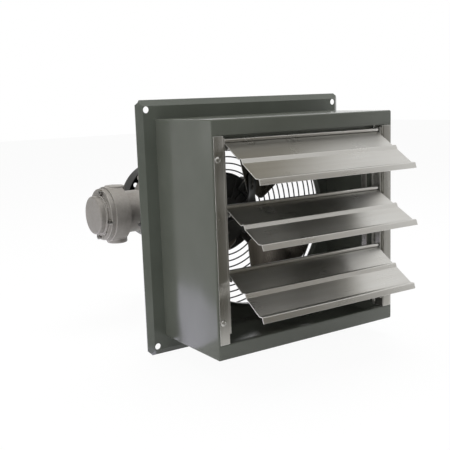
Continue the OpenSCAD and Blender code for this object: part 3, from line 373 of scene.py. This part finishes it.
by_slot = {
    "box_paint": painted_sheet("charcoal_powder_coat_box", "#545750", "#5b5e57"),
    "flange_paint": painted_sheet("charcoal_powder_coat_flange", "#50544d", "#575b54"),
    "louvre_metal": brushed_sheet("mill_aluminium_louvre", "#c6c4bf", "#cdccc8", 0, (0.27, 0.31)),
    "channel_metal": brushed_sheet("mill_aluminium_channel", "#a8a6a0", "#bdbbb6", 2),
    "strip_metal": brushed_sheet("mill_aluminium_strip", "#aeaca6", "#c2c0bb", 2),
    # Painted shade: the propeller's tones are darker than bare rolled aluminium, standing in for the shade the
    # blades sit in inside the box.
    "blade_metal": brushed_sheet("rolled_aluminium_propeller_painted_shade", "#6b665f", "#7d776f", 2, (0.24, 0.34), 0.6),
    # Painted highlight: #d0ccc7 is the pale tone of the conduit box casting's edges.
    "conduit_cast": cast_metal("cast_aluminium_conduit_box", "#85817c", "#9c9893", 0.25, 0.46, pale_tone="#d0ccc7"),
    "bell_cast": cast_metal("cast_aluminium_end_bell", "#827e79", "#99948e", 0.35, 0.52),
    "hub_cast": cast_metal("cast_iron_hub", "#3c3a38", "#4c4a47", 0.5, 0.5),
    # Painted shade in part: this dark tone goes on the motor's shell and front end bell, which sit in the
    # box's shade, while the rear bell keeps the casting's grey.
    "motor_paint": enamel("motor_enamel_painted_shade", "#2b2c2b", "#3a3b39"),
    "arm_paint": enamel("dark_enamel_arm", "#252625", "#313230", edge_mm=0.5),
    "spider_paint": enamel("dark_enamel_spider", "#262624", "#343431", edge_mm=0.4),
    "cowl_paint": enamel("black_enamel_cowl", "#141414", "#1d1d1d", 0.3),
    "guard_wire": enamel("black_coated_wire", "#161616", "#222222", 0.4, 0.3),
    "bolt_steel": plated_steel("plated_steel_bolts", "#5d5b57", "#7b7974", 0.36),
    "screw_steel": plated_steel("zinc_plated_screws", "#b9b8b4", "#d2d1cd", 0.2),
    "pin_steel": plated_steel("ground_steel_pins", "#9a9a98", "#b4b4b2", 0.24),
    "rivet_steel": plated_steel("plain_steel_rivets", "#4c4a46", "#6a6762", 0.4),
    "shaft_steel": plated_steel("ground_steel_shaft", "#8f8f8d", "#adadab", 0.22),
    "bearing_steel": plated_steel("polished_bearing_steel", "#9c9c9c", "#b8b8b8", 0.14),
    "cover_bolt_steel": plated_steel("bright_cover_bolts", "#8a8884", "#b3b1ad", 0.25),
    "white_nylon": moulded_plastic("moulded_white_nylon", "#e9e8e4", "#f0efec"),
    "fan_plastic": moulded_plastic("moulded_black_plastic", "#161616", "#1f1f1f"),
    "core_steel": stacked_laminations("stacked_steel_laminations", "#4a4b50", "#6c6d72"),
    "winding_copper": wound_copper("varnished_copper_winding", "#6b3718", "#a05a2c"),
}

for entry in frame["record"]["subparts"]:
    node = NODES[entry["node"]]
    node.data.materials.clear()
    node.data.materials.append(by_slot[entry["material_slot"]])


# ---------------------------------------------------------------- wall box

box_half, box_depth, box_sheet = 184.0, 168.0, 1.6
opening_half, lip_half, rail_return = 160.0, 166.5, 9.0
top_return, top_drop = 21.0, 6.0


def square_loop(half_x, half_z, y, radius, per_side=6, per_corner=5):
    """A loop round the fan's axis: a rectangle whose corners are arcs of that radius."""
    turn = np.linspace(0, math.pi / 2, per_corner)
    loop = []
    for quarter, (sx, sz) in enumerate([(1, 1), (-1, 1), (-1, -1), (1, -1)]):
        angle = turn + quarter * math.pi / 2
        centre = np.array([sx * (half_x - radius), sz * (half_z - radius)])
        loop.append(centre + radius * np.stack([np.cos(angle), np.sin(angle)], 1))
    points = []
    for k in range(4):
        a, b = loop[k], loop[(k + 1) % 4]
        t = np.linspace(0, 1, per_side + 1)[1:-1, None]
        points += [a, a[-1] * (1 - t) + b[0] * t]
    flat = np.concatenate(points)
    return np.stack([flat[:, 0], np.full(len(flat), y), flat[:, 1]], 1)


def sleeve():
    """The sleeve as loops: outer skin, the bend at the front, the lip, and back along the inner skin.
    The bend's section is a quarter circle of 2.4 mm outside and 0.8 mm inside."""
    bend, front, inner = 2.4, -box_depth, box_half - box_sheet
    inner_bend = bend - box_sheet
    turn = np.linspace(0, math.pi / 2, 6)
    rows = [square_loop(box_half, box_half, y, bend) for y in (0, -40, -120)]
    rows += [square_loop(box_half - bend * (1 - math.cos(a)), box_half - bend * (1 - math.cos(a)),
                         front + bend * (1 - math.sin(a)), bend) for a in turn]
    rows += [square_loop(lip_half + 0.3, opening_half + 0.3, front, 0.7),
             square_loop(lip_half, opening_half, front + 0.3, 0.5),
             square_loop(lip_half, opening_half, front + box_sheet - 0.2, 0.5),
             square_loop(lip_half + 0.2, opening_half + 0.2, front + box_sheet, 0.6)]
    for a in turn[::-1]:
        half = inner - inner_bend * (1 - math.cos(a))
        rows.append(square_loop(half, half, front + bend - inner_bend * math.sin(a), inner_bend + 0.05))
    rows += [square_loop(inner, inner, y, 0.85) for y in (-120, -40, 0)]
    return loft(rows, ring=True)


def rail_returns():
    """The edge of each rail, turned back into the opening, as a bent sheet drawn along X. The top one is
    turned down again behind the first louvre's bead, so that no light shows over it."""
    parts = []
    for side in (1, -1):
        path = [[-box_depth + 0.9, side * (opening_half + 4)], [-box_depth + 0.9, side * (opening_half + 0.8)],
                [-box_depth + rail_return, side * (opening_half + 0.8)]]
        if side > 0:
            turned_down = -box_depth + top_return
            path = path[:2] + [[turned_down, opening_half + 0.8], [turned_down, opening_half - top_drop]]
        path = rounded(path, 0.9)
        outline = sheet_outline(path, box_sheet - 0.05)
        ends = [np.stack([np.full(len(outline), x), outline[:, 0], outline[:, 1]], 1)
                for x in (-box_half + 2, box_half - 2)]
        parts.append(loft(ends))
    return join(*parts)


make_piece("sleeve_of_bent_sheet", join(sleeve(), rail_returns()), "housing", ["wall_box"], "box_paint")


# ---------------------------------------------------------------- shutter channels

channel_in, channel_t, channel_w, channel_d, channel_rear = 162.8, 1.2, 16.8, 30.0, 12.0
channel_half = opening_half - 1


def channel_section():
    """Middle line of the channel's sheet, as (x, y): front flange, web with two pressed beads whose
    shape is one wave of a raised cosine, and rear flange."""
    x, front = channel_in + channel_t / 2, -box_depth - channel_t / 2
    back = front + channel_d - channel_t
    bead = np.linspace(-1, 1, 9)[:, None]
    beads = [np.hstack([x - 0.65 * (1 + np.cos(math.pi * bead)), y + 1.4 * bead])
             for y in (back + channel_t / 2 - 1.2 - 7.6, back + channel_t / 2 - 1.2 - 3.8)]
    head = rounded([[channel_in + channel_w + channel_t, front], [x, front], [x, front + 8]], 1.3)
    tail = rounded([[x, back - 2], [x, back], [channel_in + channel_rear, back]], 1.3)
    return np.concatenate([head, beads[0], beads[1], tail])


def channel(side):
    """The section drawn from the bottom to the top, with ends cut square."""
    outline = sheet_outline(channel_section(), channel_t - 0.04)
    between = np.linspace(-channel_half + 0.2, channel_half - 0.2, 9)
    heights = np.concatenate([[-channel_half], between, [channel_half]])
    rows = [np.stack([side * outline[:, 0], outline[:, 1], np.full(len(outline), z)], 1) for z in heights]
    return loft(rows)


make_piece("right_channel_of_bent_sheet", channel(1), "housing", ["right_channel"], "channel_metal")
make_piece("left_channel_of_bent_sheet", channel(-1), "housing", ["left_channel"], "channel_metal")


# ---------------------------------------------------------------- louvre blades

pivot_y, pivot_z, slopes = -158.0, (144.5, 44.5, -55.5), (32.0, 28.0, 33.0)
louvre_left, louvre_half, louvre_t, sheet_drop, louvre_len = 158.0, 156.5, 1.0, 1.7, 107.4
pivot_along, pivot_drop = 1.0, 7.6
ear_r, ear_t, tie_x, tie_back, tie_drop = 4.5, 1.2, 145.8, 20.0, 10.0


def blade_section():
    """Middle line of a louvre's sheet, as (distance down the blade, height): the bead is an arc that
    rolls through 290 degrees and leaves at its underside along the flat, then come the flat, the
    raised ridge, the second flat and the bent lip."""
    corners = np.array([[0, 0], [45, 0], [50.3, 5], [56.6, 0.5], [94, 0.5], [100.4, 4.9], [louvre_len, -1.3]])
    path = rounded(corners, [0, 1.6, 1.6, 1.8, 1.6, 1.6, 0], 6)
    radius = 2.65
    angle = np.radians(np.linspace(-90 - 290, -90, 28))
    curl = radius * np.stack([np.cos(angle), np.sin(angle) + 1], 1)
    return np.concatenate([curl, path[1:]]) - [0, sheet_drop + louvre_t / 2]


def on_blade(i, along, height, x):
    """A point given down blade i, out of its skin, and across it, put in the world."""
    slope = math.radians(slopes[i])
    back, up = pivot_along - along, pivot_drop + height
    return np.stack([x + 0 * along, pivot_y + back * math.cos(slope) - up * math.sin(slope),
                     pivot_z[i] + back * math.sin(slope) + up * math.cos(slope)], -1)


def link_outline(p, q, r, steps=14):
    """A flat link with round ends of radius r from p to q."""
    p, q = np.asarray(p, float), np.asarray(q, float)
    heading = math.atan2(*(q - p)[::-1])
    a = np.linspace(heading + math.pi / 2, heading + 3 * math.pi / 2, steps)
    first = p + r * np.stack([np.cos(a), np.sin(a)], 1)
    last = q - r * np.stack([np.cos(a), np.sin(a)], 1)
    return np.concatenate([first, last])


def rounded_plate(outline, x0, x1, put, edge=0.25):
    """A plate between x0 and x1 whose outline is drawn in slightly at both faces."""
    centre = outline.mean(0)
    pulled = centre + (outline - centre) * (1 - edge / np.abs(outline - centre).max())
    rows = [put(pulled[:, 0], pulled[:, 1], x0), put(outline[:, 0], outline[:, 1], x0 + edge),
            put(outline[:, 0], outline[:, 1], x1 - edge), put(pulled[:, 0], pulled[:, 1], x1)]
    return loft(rows)


def louvre(i):
    """The section drawn along X, with an ear under each end and the tie tab near the right one. The left
    end stands a little past its ear, as in the photograph, and clear of the pivot strip."""
    outline = sheet_outline(blade_section(), louvre_t)
    xs = [-louvre_left, -louvre_left + 0.2, -60, 60, louvre_half - 0.2, louvre_half]
    blade = loft([on_blade(i, outline[:, 0], outline[:, 1], x) for x in xs])
    slope = math.radians(slopes[i])
    pivot = [pivot_along, -pivot_drop]
    tie = [pivot_along - tie_back * math.cos(slope) + tie_drop * math.sin(slope),
           -pivot_drop - tie_back * math.sin(slope) - tie_drop * math.cos(slope)]
    underside = -sheet_drop - louvre_t
    tab = np.array([[4.5, underside - 4.5], [13.5, underside - 4.5],
                    [13.5, underside + 0.5], [4.5, underside + 0.5]])
    parts = [blade]
    for x0, end in [(-louvre_half, pivot), (louvre_half - ear_t, pivot), (tie_x, tie)]:
        for outline in (link_outline([9, underside - 4.2], end, ear_r), tab):
            parts.append(rounded_plate(outline, x0, x0 + ear_t, lambda a, h, x: on_blade(i, a, h, x)))
    return join(*parts)


for i in range(3):
    make_piece(f"louvre_blade_{i + 1}", louvre(i), f"louvre_{i + 1}", [f"louvre_{i + 1}"], "louvre_metal",
               sharp=50)


# ---------------------------------------------------------------- propeller

prop_r, prop_sheet, prop_lead, prop_camber = 150.5, 1.6, 22.0, 5.0
lead_angle, trail_angle, arm_angle, prop_y = 48.0, 19.0, 84.0, 2.0
arm_reach, arm_width, arm_root = 80, 26, 22


def twist_share(r):
    """Share of the pitch at radius r: a smooth step from the disc to the blade."""
    t = np.clip((r - 24) / 24, 0, 1)
    return t * t * (3 - 2 * t)


def front_skin(r, a, rise, k):
    """A point of blade k's front skin: rising with the angle before the arm, with a parabolic camber."""
    mid, half = (lead_angle - trail_angle) / 2, (lead_angle + trail_angle) / 2
    u, u0 = (a - mid) / half, -mid / half
    y = prop_y + twist_share(r) * (prop_lead * np.radians(a) + prop_camber * (u0 * u0 - u * u)) + rise
    turn = np.radians(arm_angle - 120 * k - a)
    return np.stack([r * np.cos(turn), y + 0 * r, r * np.sin(turn)], -1)


def corner_drop(u, radius, start=0.55):
    """How far a blade's end is rounded off near its edges: a quarter circle from start outwards."""
    t = np.clip((np.abs(u) - start) / (1 - start), 0, 1)
    return radius * (1 - np.sqrt(1 - t * t))


def propeller_blade(k):
    """A sheet over u across the blade and v from root to tip, thinned to a soft edge all round."""
    u = np.sin(np.linspace(-math.pi / 2, math.pi / 2, 61))
    v = (1 - np.cos(np.linspace(0, math.pi, 37))) / 2
    uu, vv = np.meshgrid(u, v)
    a = (lead_angle - trail_angle) / 2 + uu * (lead_angle + trail_angle) / 2
    low, high = 44 + corner_drop(uu, 10), prop_r - corner_drop(uu, 30)
    r = low + (high - low) * vv
    near = np.minimum(np.minimum((1 - np.abs(uu)) * 33, vv * 90), (1 - vv) * 90)
    thin = 0.45 * (1 - np.clip(near / 1.2, 0, 1)) ** 2
    return plates(front_skin(r, a, thin, k), front_skin(r, a, prop_sheet - thin, k))


def spider():
    """Three arms that follow the blades' front skin, and the disc between them."""
    parts = []
    v, w = np.linspace(0, 1, 25), np.linspace(-0.5, 0.5, 9)
    ww, vv = np.meshgrid(w, v)
    for k in range(3):
        reach = arm_reach - 3.0 * (2 * np.abs(ww)) ** 4
        r = arm_root + (reach - arm_root) * vv
        a = np.degrees(ww * arm_width / r)
        parts.append(plates(front_skin(r, a, -2.75, k), front_skin(r, a, -0.15, k)))
    disc = rounded([[8.1, -1.25], [29, -1.25], [29, 1.9], [8.1, 1.9]], 0.5)
    parts.append(turned(disc, 96, along_y, closed=True))
    return join(*parts)


for k in range(3):
    make_piece(f"propeller_blade_{k + 1}", propeller_blade(k), "rotor", [f"fan_blade_{k + 1}"], "blade_metal",
               sharp=60)
make_piece("spider_of_pressed_plate", spider(), "rotor", ["fan_spider"], "spider_paint", sharp=50)


# ---------------------------------------------------------------- conduit box

cbox_y, entry_x = 240.0, -152.0


def along_minus_x(y, z, h):
    """Turned about the conduit box's own axis, away from the motor."""
    return np.stack([-h, cbox_y + y, z], -1)


def along_minus_z(x, y, h):
    """Turned about the conduit entry's axis, downwards."""
    return np.stack([entry_x + x, cbox_y + y, -h], -1)


def along_plus_z(x, y, h):
    """Turned about the same axis, upwards."""
    return np.stack([entry_x + x, cbox_y - y, h], -1)


def conduit_box():
    """Turned shell: nipple, can with a rounded back and a fillet to the thick rim, mouth and cavity.
    The bored entry boss below and the blind boss above are turned about their own axes."""
    outer = rounded([[17, 68.4], [22, 68.4], [22, 94.2], [41, 94.2], [41, 142.2],
                     [53, 142.2], [53, 174], [36, 174], [36, 99], [17, 99]],
                    [0, 0.8, 3.0, 13, 4.0, 2.6, 0.8, 1.2, 3, 0.6], 7)
    shell = turned(outer, 96, along_minus_x, closed=True)
    bored = rounded([[12, 37.2], [20, 37.2], [20, 58], [12, 58]], [0, 0, 3.2, 1.2], 7)
    blind = rounded([[0, 38.5], [20, 38.5], [20, 54], [0, 54]], [0, 0, 2.6, 0], 7)
    return join(shell, turned(bored, 72, along_minus_z, closed=True), turned(blind, 72, along_plus_z))


make_piece("conduit_box_casting", conduit_box(), "housing", ["conduit_box"], "conduit_cast", sharp=50)


# ---------------------------------------------------------------- surroundings

def studio():
    """White floor and surround, soft lamps, and the grey cards that the bright metal and the paint
    mirror. The camera stands where the photograph was taken."""
    scene = bpy.context.scene
    floor_z = -215.6 * MM

    def stage_sheet(name, corners, material):
        """One flat face that belongs to the stage."""
        mesh = bpy.data.meshes.new(name)
        mesh.from_pydata(corners, [], [tuple(range(len(corners)))])
        mesh.materials.append(material)
        item = bpy.data.objects.new(name, mesh)
        scene.collection.objects.link(item)
        return item

    material = bpy.data.materials.new("white_floor")
    material.use_nodes = True
    tree = material.node_tree
    tree.nodes.clear()
    matt = add_node(tree, "ShaderNodeBsdfDiffuse", {"Color": linear("#f8f8f8")})
    white = add_node(tree, "ShaderNodeEmission", {"Strength": 1.0})
    path = add_node(tree, "ShaderNodeLightPath")
    share = add_node(tree, "ShaderNodeMath", {"operation": "MULTIPLY_ADD", 1: 0.95, 2: 0.0},
                     {0: path.outputs["Is Camera Ray"]})
    mirrored = add_node(tree, "ShaderNodeMath", {"operation": "MULTIPLY_ADD", 1: 0.6},
                        {0: path.outputs["Is Glossy Ray"], 2: share.outputs[0]})
    seen = add_node(tree, "ShaderNodeMixShader",
                    links={0: mirrored.outputs[0], 1: matt.outputs[0], 2: white.outputs[0]})
    add_node(tree, "ShaderNodeOutputMaterial", links={"Surface": seen.outputs[0]})
    reach = 8
    stage_sheet("floor", [(-reach, -reach, floor_z), (reach, -reach, floor_z), (reach, reach, floor_z),
                          (-reach, reach, floor_z)], material)

    world = bpy.data.worlds.new("white_surround")
    scene.world = world
    world.use_nodes = True
    tree = world.node_tree
    tree.nodes.clear()
    path = add_node(tree, "ShaderNodeLightPath")
    either = add_node(tree, "ShaderNodeMath", {"operation": "SUBTRACT", 0: 1.0},
                      {1: path.outputs["Is Diffuse Ray"]})
    strength = add_node(tree, "ShaderNodeMapRange", {3: 0.32, 4: 1.0}, {0: either.outputs[0]})
    back = add_node(tree, "ShaderNodeBackground", {"Color": (1, 1, 1, 1)}, {"Strength": strength.outputs[0]})
    add_node(tree, "ShaderNodeOutputWorld", links={"Surface": back.outputs[0]})

    def card(name, corners, tone, strength=1.0, upper=None):
        """A flat card that only mirror reflections meet; upper is its tone at the top, if it changes."""
        material = bpy.data.materials.new(name)
        material.use_nodes = True
        tree = material.node_tree
        tree.nodes.clear()
        glow = add_node(tree, "ShaderNodeEmission", {"Color": linear(tone), "Strength": strength})
        if upper:
            place = add_node(tree, "ShaderNodeTexCoord")
            height = add_node(tree, "ShaderNodeSeparateXYZ", links={0: place.outputs["Object"]})
            share = spread(tree, height.outputs[2], 0, 2.6, 0, 1)
            tree.links.new(ramp(tree, share, 0, 1, linear(tone), linear(upper)), glow.inputs["Color"])
        add_node(tree, "ShaderNodeOutputMaterial", links={"Surface": glow.outputs[0]})
        item = stage_sheet(name, corners, material)
        item.visible_camera = item.visible_diffuse = item.visible_shadow = item.visible_transmission = False

    low = floor_z + 0.0006
    card("card_overhead", [(-4, -0.5, 2), (1.62, -0.5, 2), (1.62, 3, 2), (-4, 3, 2)], "#8c8678")
    card("card_floor_front", [(-3, -4.2, low), (3.6, -4.2, low), (0.34, -0.37, low), (-3, -0.37, low)],
         "#5c5a52")
    card("card_wall_front", [(-4, -4.2, low), (3.6, -4.2, low), (4.7, -4.2, 3.4), (-4, -4.2, 3.4)], "#5c5a52",
         upper="#979188")
    card("card_floor_back", [(-4, -1.46, low), (-0.45, -1.46, low), (-0.45, 5, low), (-4, 5, low)], "#c8c8c6")
    card("card_floor_side", [(-0.45, -0.03, low), (-0.2, -0.03, low), (-0.2, 1.2, low), (-0.45, 1.2, low)],
         "#e6e3f2", 2.3)
    card("card_wall_back", [(-4, 5, low), (0.6, 5, low), (0.6, 5, 3), (-4, 5, 3)], "#c8c8c6")

    def looking(direction):
        """The turn that points an item's -Z along direction."""
        forward = direction / np.linalg.norm(direction)
        right = np.cross(forward, [0, 0, 1.0])
        right /= np.linalg.norm(right)
        up = np.cross(right, forward)
        return Matrix([[right[i], up[i], -forward[i], 0] for i in range(3)] + [[0, 0, 0, 1]])

    def lamp(name, place, aim, size, power):
        """A soft box that lights matt surfaces; mirror reflections meet the cards and not it."""
        light = bpy.data.lights.new(name, "AREA")
        light.shape, light.size, light.size_y, light.energy = "RECTANGLE", size[0], size[1], power
        item = bpy.data.objects.new(name, light)
        scene.collection.objects.link(item)
        direction = np.array(aim, float) - np.array(place, float)
        item.matrix_world = Matrix.Translation(place) @ looking(direction)
        item.visible_glossy = False

    lamp("soft_box_above", (0.3, 0.2, 1.95), (0, 0, 0), (1.4, 1.4), 46)
    lamp("soft_box_front", (-0.6, -2.2, 1.2), (0, -0.1, 0), (1.4, 1.0), 9)
    lamp("soft_box_left", (-1.9, -0.7, 0.15), (-0.15, -0.05, 0), (0.8, 0.5), 12)

    place, focal_px, picture_px, film_mm = (-0.780995, -1.106140, 0.215059), 759.431, 450, 36.0
    yaw, pitch, roll = (math.radians(v) for v in (-33.2898, -9.5309, 2.0221))
    turn = Matrix.Rotation(yaw, 4, "Z") @ Matrix.Rotation(pitch, 4, "X") @ Matrix.Rotation(roll, 4, "Y")
    camera = bpy.data.objects.new("camera", bpy.data.cameras.new("camera"))
    camera.data.sensor_fit, camera.data.sensor_width = "HORIZONTAL", film_mm
    camera.data.lens = focal_px / picture_px * film_mm
    camera.matrix_world = Matrix.Translation(place) @ turn @ Matrix.Rotation(math.radians(90), 4, "X")
    scene.collection.objects.link(camera)
    scene.camera = camera
    scene.view_settings.view_transform = "Standard"


studio()
